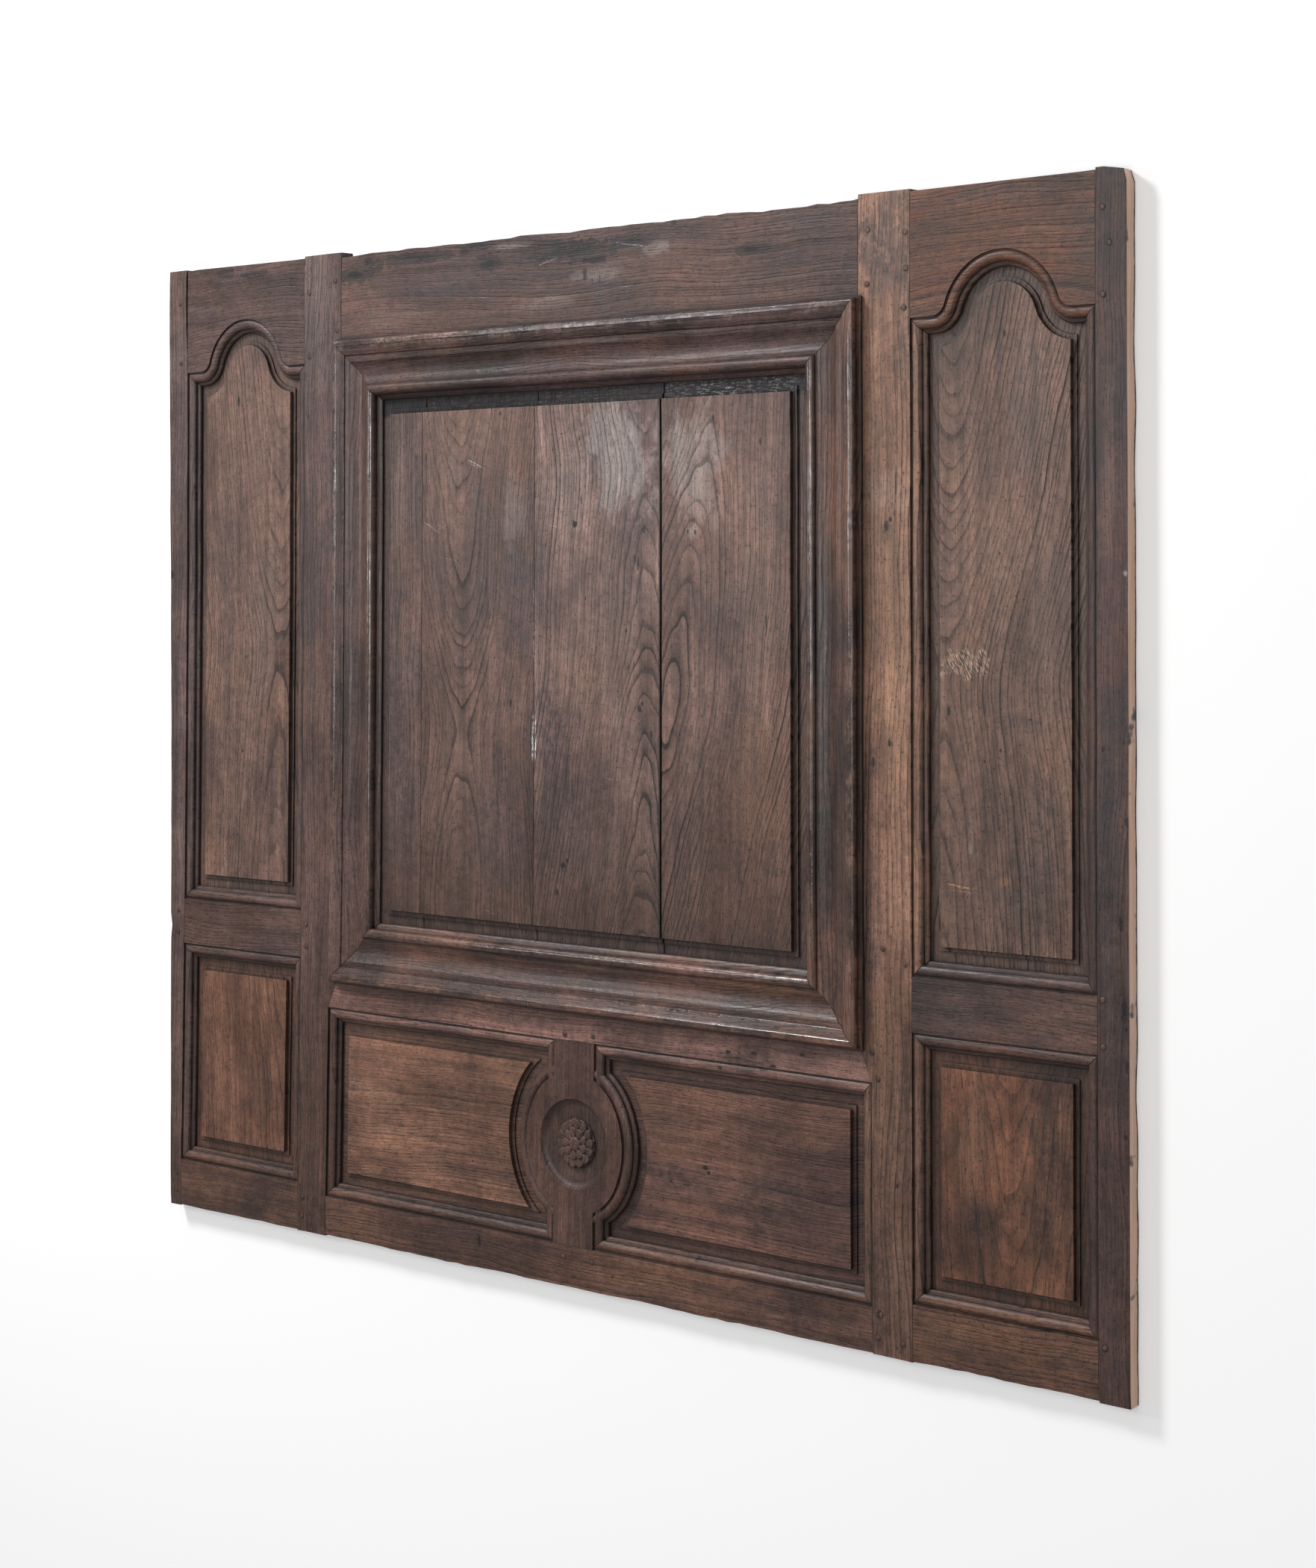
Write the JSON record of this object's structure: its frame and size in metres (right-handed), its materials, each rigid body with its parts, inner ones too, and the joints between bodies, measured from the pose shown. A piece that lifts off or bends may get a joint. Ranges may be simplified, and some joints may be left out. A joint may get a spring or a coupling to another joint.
{
  "type": "wainscot panel",
  "caption": "Old oak wall panelling: arched and square fielded side panels, a bolection-framed boarded centre and a carved medallion below.",
  "frame": {"origin": "middle of the back, at the bottom of the box as it lies on its back", "axes": "+Z out of the wall, from the back to the moulded face; +X along the wall to the right, seen from the front; +Y up the wall, to the arched rails"},
  "size_m": [2.4, 2, 0.0545],
  "materials": {
    "frame_oak": "worn wax, satin",
    "bolection_oak": "dark wax, rubbed to a sheen on the edges",
    "panel_oak": "worn wax, satin"
  },
  "bodies": {
    "root": {"left_outer_stile": "frame_oak", "left_inner_stile": "frame_oak", "right_inner_stile": "frame_oak", "right_outer_stile": "frame_oak", "left_top_rail": "frame_oak", "left_mid_rail": "frame_oak", "left_bottom_rail": "frame_oak", "right_top_rail": "frame_oak", "right_mid_rail": "frame_oak", "right_bottom_rail": "frame_oak", "centre_top_rail": "frame_oak", "centre_mid_rail": "frame_oak", "centre_bottom_rail": "frame_oak", "medallion_muntin": "frame_oak", "bolection_top": "bolection_oak", "bolection_bottom": "bolection_oak", "bolection_left": "bolection_oak", "bolection_right": "bolection_oak", "left_upper_panel": "panel_oak", "left_lower_panel": "panel_oak", "right_upper_panel": "panel_oak", "right_lower_panel": "panel_oak", "lower_centre_left_panel": "panel_oak", "lower_centre_right_panel": "panel_oak", "centre_board_1": "panel_oak", "centre_board_2": "panel_oak", "centre_board_3": "panel_oak", "centre_board_4": "panel_oak"}
  },
  "joints": []
}
